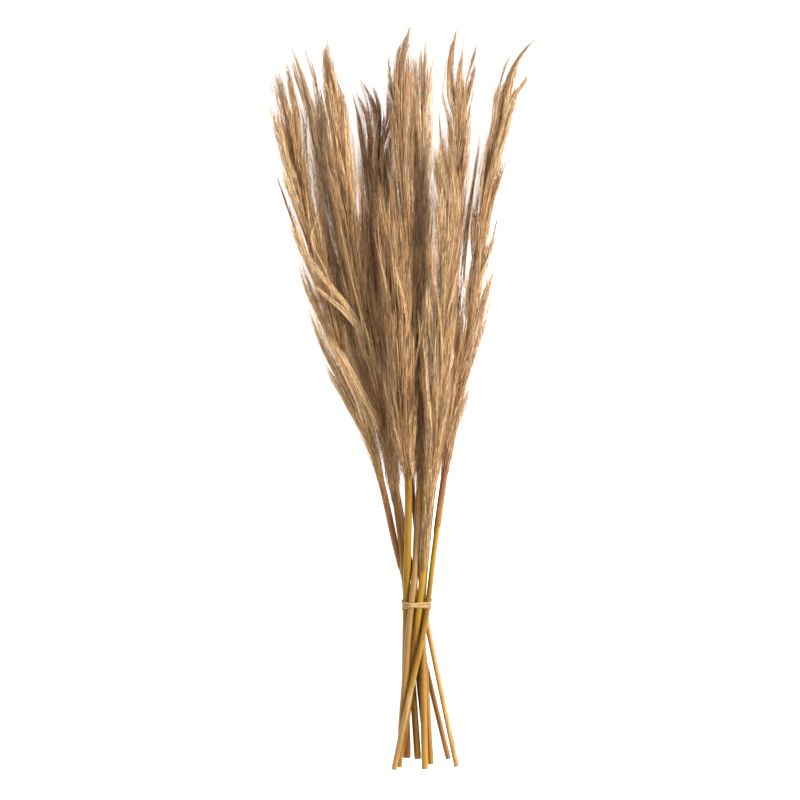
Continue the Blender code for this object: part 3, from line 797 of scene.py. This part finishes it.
def hair_material(key):
    tone = TONES[key]
    shader = Shader("plume_hair_" + key, 0.6, sheen=0.2)
    red, green, blue = shader.channels("paint")
    base = shader.ramp(red, [
        (0.0, srgb(*tone.dark)), (0.5, srgb(*tone.middle)), (1.0, srgb(*tone.light))])
    # painted shade: thin hairs and hair tips are mixed toward a grey brown
    base = shader.mix(blue, base, THIN_HAIR_SHADE)
    # painted shade: each hair is darker at its root, deep in the plume, and a little darker and greyer
    # at its tip
    painted_root_and_tip_shade = shader.ramp(green, [
        (0.0, (0.7, 0.66, 0.6, 1)), (0.3, (0.97, 0.96, 0.94, 1)), (0.7, (1, 1, 1, 1)),
        (1.0, (0.84, 0.84, 0.86, 1))])
    lit = shader.multiply(base, painted_root_and_tip_shade)
    place = shader.object_place()
    streaks = shader.noise(place, 90.0, 3.0, (1, 0.12, 1))
    veil = shader.ramp(streaks, [(0.3, (0.84, 0.82, 0.8, 1)), (0.7, (1.08, 1.08, 1.08, 1))])
    lit = shader.multiply(lit, veil)
    grain = shader.noise(place, 620.0, 2.0, (1, 0.22, 1))
    specks = shader.ramp(grain, [(0.36, (0.66, 0.62, 0.57, 1)), (0.62, (1.22, 1.21, 1.19, 1))])
    shader.colour(shader.multiply(lit, specks))
    return shader.material


def make_plume(key, culm):
    points, width, paint = plume_hair(key, culm)
    placed = within_box(to_frame(points))
    mesh = ribbon_mesh("hair_" + key, placed, width * MM, paint, seed=culm.seed)
    mesh.materials.append(hair_material(key))
    add_piece("plume_hair_" + key, mesh, "plume_" + key)


# -------- canes

CANE_SIDES = 16
CANE_STEP = 5.0  # between rings, and close to the joint and the sheath's edge:
FINE_STEP = 0.8
JOINT_REACH, EDGE_REACH = 3.0, 8.0
JOINT_HALF = 1.3
GROOVE_HALF, GROOVE_DEPTH = 0.5, 0.22
CANE_UNEVEN, CANE_WAVE = 0.012, 23.0  # thickness along it
CANE_OVAL, CANE_RIB, CANE_RIBS = 0.018, 0.05, 9  # and round it
EDGE_SLANT = 4.5
EDGE_TEAR = (1.4, 0.7)
EDGE_STEP = 0.8
INTO_PLUME = 25.0  # the cane runs on inside the plume
PLUME_TAPER = 60.0
# rings of the cut face, from its middle out: share of the radius, how deep and how pithy
CUT_RINGS = ((0.15, 0.7, 1.0), (0.55, 0.6, 1.0), (0.74, 0.1, 0.55), (0.93, -0.02, 0.2))
CUT_DEPTH = 0.6

# colours at the cut end, below and above a change, and of the sheath; change: where the colour
# changes; fade: length that the sheath's colour comes in over
Cane = namedtuple("Cane", "foot low high sheath change fade")
PALE, STRAW, YELLOW = srgb(196, 158, 98), srgb(172, 128, 54), srgb(164, 124, 30)
OLIVE, BROWN, DARK = srgb(132, 100, 22), srgb(148, 102, 56), srgb(104, 66, 34)
KHAKI, GOLD, SAND = srgb(136, 102, 54), srgb(152, 108, 34), srgb(180, 142, 88)
CANES = {
    "01": Cane(BROWN, GOLD, YELLOW, BROWN, 150, 1),
    "02": Cane(GOLD, GOLD, DARK, None, 190, 1),
    "03": Cane(GOLD, OLIVE, GOLD, KHAKI, 110, 8),
    "04": Cane(PALE, STRAW, DARK, None, 190, 1),
    "05": Cane(GOLD, SAND, YELLOW, None, 258, 1),
    "06": Cane(DARK, BROWN, BROWN, None, 150, 1),
    "07": Cane(STRAW, GOLD, GOLD, None, 120, 1),
    "08": Cane(SAND, SAND, YELLOW, BROWN, 82, 34),
    "09": Cane(BROWN, GOLD, YELLOW, None, 120, 1),
    "10": Cane(GOLD, GOLD, YELLOW, KHAKI, 150, 60),
}


def cane_stations(culm):
    start, end = culm.path[0][1], culm.collar + INTO_PLUME
    s = set(np.round(np.arange(start, end, CANE_STEP), 2)) | {end}
    marks = [(culm.joint, JOINT_REACH)] + ([(culm.sheath, EDGE_REACH)] if culm.sheath else [])
    for place, reach in marks:
        s |= set(np.round(np.arange(place - reach, place + reach, FINE_STEP), 2))
    return np.array(sorted(s))


def sheath_edge(culm, turn, phase):
    """Where the leaf sheath ends round the cane: on a slant and a little torn."""
    wide, fine = EDGE_TEAR
    return (culm.sheath + EDGE_SLANT * np.cos(turn + phase[3])
            + wide * np.cos(3 * turn + phase[1]) + fine * np.cos(7 * turn + phase[2]))


def cane_mesh(key, culm):
    """Cane with a swollen joint, a sheath with a slanted edge, and a hollowed pithy cut end."""
    s = cane_stations(culm)
    turn = np.arange(CANE_SIDES) * 2 * math.pi / CANE_SIDES
    line = line_at(key, s)
    along = unit(np.gradient(line, axis=0))
    side = unit(np.cross(along, (0, 0, 1.0)))
    up = np.cross(side, along)
    phase = np.random.default_rng(culm.seed).uniform(0, 2 * math.pi, 4)
    radius = np.full((len(s), CANE_SIDES), culm.cane)
    swell = np.exp(-((s - culm.joint) / JOINT_HALF) ** 2) * JOINT_SWELL
    groove = np.exp(-((s - culm.joint) / GROOVE_HALF) ** 2) * GROOVE_DEPTH
    radius += column(swell - groove)
    uneven = CANE_UNEVEN * np.sin(column(s) / CANE_WAVE + phase[0])
    radius *= 1.0 + uneven + CANE_OVAL * np.cos(2 * turn + phase[1])
    radius += CANE_RIB * np.cos(CANE_RIBS * turn + phase[2])
    paint = np.zeros((len(s), CANE_SIDES, 3))
    paint[..., 0] = column(s / LENGTH)
    if culm.sheath:
        above = column(s) - sheath_edge(culm, turn, phase)
        sheathed = np.clip(above / EDGE_STEP, 0.0, 1.0)
        radius += SHEATH_WALL * sheathed * (1.0 + 0.1 * np.cos(5 * turn + phase[0]))
        paint[..., 2] = np.clip(above / CANES[key].fade, 0.0, 1.0)
    radius *= column(np.clip(1.0 - (s - culm.collar) / PLUME_TAPER, 0.4, 1.0))
    circle = side[:, None] * np.cos(turn)[None, :, None] + up[:, None] * np.sin(turn)[None, :, None]
    rings = line[:, None] + radius[..., None] * circle
    cut, cut_paint = cut_end(culm, line[0], along[0], circle[0])
    verts = np.concatenate([cut, rings.reshape(-1, 3)])
    shades = np.concatenate([cut_paint, paint.reshape(-1, 3)])
    return verts, shades, tube_faces(len(s) + len(CUT_RINGS), CANE_SIDES)


def cut_end(culm, middle, along, circle):
    """Rings of the cut face, from its middle out to the rim: pith, then the woody wall."""
    rings, paint = [], []
    for share, sunk, pith in CUT_RINGS:
        rings.append(middle + along * sunk * CUT_DEPTH + circle * culm.cane * share)
        paint.append(np.tile((culm.path[0][1] / LENGTH, pith, 0.0), (len(circle), 1)))
    return np.concatenate(rings), np.concatenate(paint)


def tube_faces(rings, sides, closed=False):
    """Faces of a tube, with flat ends unless it closes on itself."""
    faces = []
    for k in range(rings if closed else rings - 1):
        low, high = k * sides, (k + 1) % rings * sides
        for j in range(sides):
            j2 = (j + 1) % sides
            faces.append((low + j, high + j, high + j2, low + j2))
    if not closed:
        faces.append(tuple(range(sides)))
        faces.append(tuple((rings - 1) * sides + j for j in reversed(range(sides))))
    return faces


def painted_mesh(name, verts, faces, shades):
    mesh = bpy.data.meshes.new(name)
    mesh.from_pydata(to_frame(verts).tolist(), [], faces)
    paint_points(mesh, shades)
    mesh.shade_smooth()
    return mesh


def cane_material(key):
    look = CANES[key]
    shader = Shader("cane_" + key, 0.36)
    along, pith, sheath = shader.channels("paint")
    change = look.change / LENGTH
    base = shader.ramp(along, [
        (0.0, look.foot), (change - 0.012, look.low), (change + 0.006, look.high), (1.0, look.high)])
    place = shader.object_place()
    streak = shader.noise(place, 240.0, 5.0, (1, 0.05, 1))
    streaked = shader.ramp(streak, [
        (0.32, (0.62, 0.56, 0.48, 1)), (0.5, (0.9, 0.89, 0.87, 1)), (0.72, (1.0, 0.98, 0.94, 1))])
    base = shader.multiply(base, streaked)
    blotch = shader.noise(place, 26.0, 4.0, (1, 0.3, 1))
    blotched = shader.ramp(blotch, [(0.3, (0.82, 0.78, 0.7, 1)), (0.62, (1.04, 1.04, 1.04, 1))])
    base = shader.multiply(base, blotched)
    spots = shader.ramp(shader.noise(place, 420.0, 2.0, (1, 0.6, 1)), [
        (0.66, (0, 0, 0, 1)), (0.72, (0.45, 0.45, 0.45, 1))])
    base = shader.mix(spots, base, srgb(84, 52, 24))
    if look.sheath:
        base = shader.mix(sheath_share(shader, sheath, place), base, husk_colour(shader, look, place))
    grain = shader.noise(place, 900.0, 2.0)
    soft = shader.ramp(grain, [(0.35, srgb(170, 132, 82)), (0.65, srgb(220, 194, 146))])
    shader.colour(shader.mix(pith, base, soft))
    shader.bump(streak, 0.35, 0.0004)
    return shader.material


def sheath_share(shader, sheath, place):
    """Where the sheath's colour shows: in patches first, then all over."""
    patches = shader.ramp(shader.noise(place, 160.0, 4.0, (1, 0.3, 1)), [
        (0.46, (0, 0, 0, 1)), (0.54, (1, 1, 1, 1))])
    started = shader.ramp(sheath, [(0.0, (0, 0, 0, 1)), (0.1, (1, 1, 1, 1))])
    return shader.multiply(shader.mix(sheath, patches, (1, 1, 1, 1)), started)


def husk_colour(shader, look, place):
    fibre = shader.noise(place, 300.0, 3.0, (1, 0.04, 1))
    return shader.multiply(look.sheath, shader.ramp(fibre, [
        (0.3, (0.6, 0.55, 0.5, 1)), (0.7, (1.25, 1.22, 1.15, 1))]))


def make_cane(key, culm):
    verts, shades, faces = cane_mesh(key, culm)
    mesh = painted_mesh("cane_" + key, verts, faces, shades)
    mesh.set_sharp_from_angle(angle=math.radians(50))
    mesh.materials.append(cane_material(key))
    add_piece("cane_fine_" + key, mesh, "stem_" + key)


# -------- tie

# each turn of raffia: where along the bundle, its tilt, the tilt's phase and how far out
TURNS = ((-2.4, 1.6, 0.4, 0.0), (0.2, -2.2, 1.1, 0.35), (2.6, 1.3, 2.6, 0.1))
RAFFIA_STRANDS = 5  # in each turn
RAFFIA_STATIONS = 96
RAFFIA_SIDES = 6
RAFFIA_APART = 0.62
RAFFIA_LEAN = 1.1  # the turns lean against each other where they cross on top
RAFFIA_CROSS = 0.75  # how much the strands of a turn draw apart and cross
RAFFIA_WANDER, RAFFIA_LIFT = 0.3, 0.2  # along the bundle and off it
RAFFIA_HALF = (0.40, 0.24)
RAFFIA_UNEVEN = 0.15
RAFFIA_OUT = 0.75
RAFFIA_PASSES = 3
KNOT_ANGLE = math.radians(-97)  # round the bundle: on the underside
KNOT_OUT = 2.2
KNOT_RADII = (1.0, 2.3, 2.7, 2.2, 1.0)
KNOT_SKIN = 0.7  # the strands' middles lie this far in
KNOT_STEP = 1.7
KNOT_STRANDS, KNOT_STATIONS = 8, 15
KNOT_TWIST = 1.5
KNOT_HALF = (1.1, 0.62)
TAIL_STRANDS, TAIL_STATIONS = 4, 9
TAIL_STEP = (1.1, 4.5, 0.0)
TAIL_STEPS = 3.0
TAIL_ROOT = 1.5
TAIL_DROP = 1.3
TAIL_STRAY = 0.9
TAIL_HALF = 0.55
FIBRE_ANGLE = math.radians(35)
FIBRE_ROOT = (3.0, 4.0, 0.8)  # along the bundle, where it is snug, and how far out
FIBRE_REACH = (5.0, 3.5)
FIBRE_SIDES = 4


def snug(circles, angle, out):
    along = np.array((math.cos(angle), math.sin(angle)))
    middle, radius = max(circles, key=lambda c: c[0] @ along + c[1])
    return middle + (radius + out) * along


def canes_at(s):
    return [(line_at(key, s)[[0, 2]], culm.cane) for key, culm in CULMS.items()]


def raffia_turn(at, tilt, phase, out, strand, rng):
    """One strand of one turn, as points of a closed loop."""
    points = []
    wander = rng.uniform(0, 2 * math.pi, 3)
    offset = (strand - (RAFFIA_STRANDS - 1) / 2) * RAFFIA_APART
    for i in range(RAFFIA_STATIONS):
        angle = 2 * math.pi * i / RAFFIA_STATIONS
        s = TIE_AT + at + tilt * math.sin(angle + phase)
        s += offset * (1.0 - RAFFIA_CROSS + RAFFIA_CROSS * math.sin(angle + wander[0]))
        s += RAFFIA_LEAN * math.cos(angle) * math.copysign(1.0, tilt)
        s += RAFFIA_WANDER * math.sin(2 * angle + wander[2])
        lift = RAFFIA_OUT + out + RAFFIA_LIFT * math.sin(3 * angle + wander[1])
        x, z = snug(canes_at(s), angle, lift)
        points.append((x, s, z))
    points = np.array(points)
    for _ in range(RAFFIA_PASSES):
        points = 0.25 * np.roll(points, 1, axis=0) + 0.5 * points + 0.25 * np.roll(points, -1, axis=0)
    return points


def band(line, away, wide, thick, sides, closed=False):
    """A flat band along a line: its points and faces."""
    if closed:
        along = unit(np.roll(line, -1, axis=0) - np.roll(line, 1, axis=0))
    else:
        along = unit(np.gradient(line, axis=0))
    away = unit(away - along * (away * along).sum(axis=1, keepdims=True))
    flat = np.cross(along, away)
    turn = np.arange(sides) * 2 * math.pi / sides
    ring = (flat[:, None] * np.cos(turn)[None, :, None] * np.reshape(wide, (-1, 1, 1))
            + away[:, None] * np.sin(turn)[None, :, None] * np.reshape(thick, (-1, 1, 1)))
    return (line[:, None] + ring).reshape(-1, 3), tube_faces(len(line), sides, closed)


def turns(rng):
    bands = []
    for turn in TURNS:
        for strand in range(RAFFIA_STRANDS):
            loop = raffia_turn(*turn, strand, rng)
            away = (loop - loop.mean(axis=0)) * (1, 0, 1)
            uneven = 1.0 + RAFFIA_UNEVEN * np.sin(np.arange(RAFFIA_STATIONS) / 7.0 + strand)
            wide, thick = (uneven * half for half in RAFFIA_HALF)
            bands.append(band(loop, away, wide, thick, RAFFIA_SIDES, closed=True))
    return bands


def knot(rng):
    """The knot's lump of crossed strands on the underside, and its two frayed tails."""
    x, z = snug(canes_at(TIE_AT), KNOT_ANGLE, KNOT_OUT)
    middle = np.array((x, TIE_AT, z))
    bands = []
    half_length = (len(KNOT_RADII) - 1) / 2 * KNOT_STEP
    t = np.linspace(-1.0, 1.0, KNOT_STATIONS)
    radius = np.interp(t, np.linspace(-1.0, 1.0, len(KNOT_RADII)), KNOT_RADII) - KNOT_SKIN
    wide, thick = (np.full(KNOT_STATIONS, half) for half in KNOT_HALF)
    for i in range(KNOT_STRANDS):
        twist = 2 * math.pi * i / KNOT_STRANDS + KNOT_TWIST * t
        line = middle + np.stack(
            [t * half_length, radius * np.cos(twist), radius * np.sin(twist)], axis=-1)
        bands.append(band(line, line - middle, wide, thick, RAFFIA_SIDES))
    for side in (-1, 1):
        for _ in range(TAIL_STRANDS):
            t = column(np.linspace(0.0, TAIL_STEPS + rng.uniform(-0.3, 0.4), TAIL_STATIONS))
            stray = rng.uniform(-TAIL_STRAY, TAIL_STRAY)
            line = middle + np.array((side * TAIL_ROOT, 0, 0)) + side * t * np.array(TAIL_STEP)
            line += t ** 0.5 * (0, 0, -TAIL_DROP) + (0.4 + 0.3 * t) * (stray, 0, 0)
            away = np.tile((0.2 * stray, 0, 1.0), (TAIL_STATIONS, 1))
            wide = TAIL_HALF * (1.0 - 0.2 * t / t[-1])
            bands.append(band(line, away, wide, wide * 0.4, RAFFIA_SIDES))
    return bands


def loose_fibre(rng):
    """Thin fibres that stand off the tie at its right side."""
    root, at, out = FIBRE_ROOT
    x, z = snug(canes_at(TIE_AT + at), FIBRE_ANGLE, out)
    t = np.linspace(0.0, 1.0, TAIL_STATIONS)
    away = np.tile((0, 0, 1.0), (TAIL_STATIONS, 1))
    bands = []
    for reach in FIBRE_REACH:
        line = np.array((x, TIE_AT + root, z)) + np.stack(
            [t * 1.2 - rng.uniform(0.5, 1.5) * t ** 2, t * reach, t * 0.6], axis=-1)
        bands.append(band(line, away, 0.16 * (1.2 - t), 0.1 * (1.2 - t), FIBRE_SIDES))
    return bands


def raffia_material():
    shader = Shader("raffia", 0.6, sheen=0.1)
    number, _, _ = shader.channels("paint")
    base = shader.ramp(number, [
        (0.0, srgb(196, 156, 100)), (0.3, srgb(214, 178, 122)), (0.6, srgb(178, 136, 80)),
        (1.0, srgb(218, 184, 130))])
    fibre = shader.noise(shader.object_place(), 700.0, 4.0, (0.12, 1, 0.12))
    shader.colour(shader.multiply(base, shader.ramp(fibre, [
        (0.3, (0.62, 0.54, 0.44, 1)), (0.6, (1.05, 1.05, 1.03, 1))])))
    shader.bump(fibre, 0.4, 0.0003)
    return shader.material


def make_tie():
    rng = np.random.default_rng(31)
    verts, faces, shades, base = [], [], [], 0
    for points, tube in turns(rng) + knot(rng) + loose_fibre(rng):
        verts.append(points)
        faces += [tuple(base + corner for corner in face) for face in tube]
        shades.append(np.tile(rng.random(), (len(points), 3)))
        base += len(points)
    mesh = painted_mesh("raffia", np.concatenate(verts), faces, np.concatenate(shades))
    mesh.materials.append(raffia_material())
    add_piece("raffia_tie", mesh, "tie")


# -------- stage

CAMERA_HEIGHT = 3.0
AIM_ACROSS, AIM_ALONG = -16.0, 370.5  # the point of the plan in the picture's middle
VIEW_WIDTH = 0.8  # across the picture at the height of the bundle's middle
SENSOR = 36.0
MIDDLE_HEIGHT = 0.035
FLOOR_SIZE = 8.0
FLOOR_WHITE = (0.9, 0.9, 0.9, 1)
FLOOR_GLOW = 0.75  # keeps the pale floor white in the bundle's soft shadow
LIGHTS = (("key", (1.9, 0.5, 1.5), 1.0, 96.0), ("fill", (-1.4, 0.8, 2.2), 2.0, 10.0))
WORLD_LIGHT = 0.68


def make_floor():
    half = FLOOR_SIZE / 2
    mesh = bpy.data.meshes.new("floor")
    mesh.from_pydata(
        [(-half, -half, 0), (half, -half, 0), (half, half, 0), (-half, half, 0)], [], [(0, 1, 2, 3)])
    floor = add_object("floor", mesh)
    shader = Shader("floor", 0.9)
    shader.surface.inputs["Base Color"].default_value = FLOOR_WHITE
    shader.surface.inputs["Emission Color"].default_value = (1, 1, 1, 1)
    shader.surface.inputs["Emission Strength"].default_value = FLOOR_GLOW
    mesh.materials.append(shader.material)


def make_camera():
    camera = add_object("camera", bpy.data.cameras.new("camera"))
    across_floor, along_floor, _ = to_frame((AIM_ACROSS, AIM_ALONG, 0.0))
    camera.location = (across_floor, along_floor, CAMERA_HEIGHT)
    camera.data.sensor_width = SENSOR
    camera.data.lens = SENSOR * (CAMERA_HEIGHT - MIDDLE_HEIGHT) / VIEW_WIDTH
    bpy.context.scene.camera = camera


def make_lights():
    for name, place, size, power in LIGHTS:
        light = add_object(name, bpy.data.lights.new(name, "AREA"))
        light.data.size = size
        light.data.energy = power
        light.location = place
        light.rotation_euler = (-Vector(place)).to_track_quat("-Z", "Y").to_euler()
    world = bpy.data.worlds.new("studio")
    world.use_nodes = True
    background = world.node_tree.nodes["Background"]
    background.inputs["Color"].default_value = (1, 1, 1, 1)
    background.inputs["Strength"].default_value = WORLD_LIGHT
    bpy.context.scene.world = world
    bpy.context.scene.view_settings.view_transform = "Standard"


make_floor()
make_camera()
make_lights()
for key, culm in CULMS.items():
    make_plume(key, culm)
    make_cane(key, culm)
make_tie()
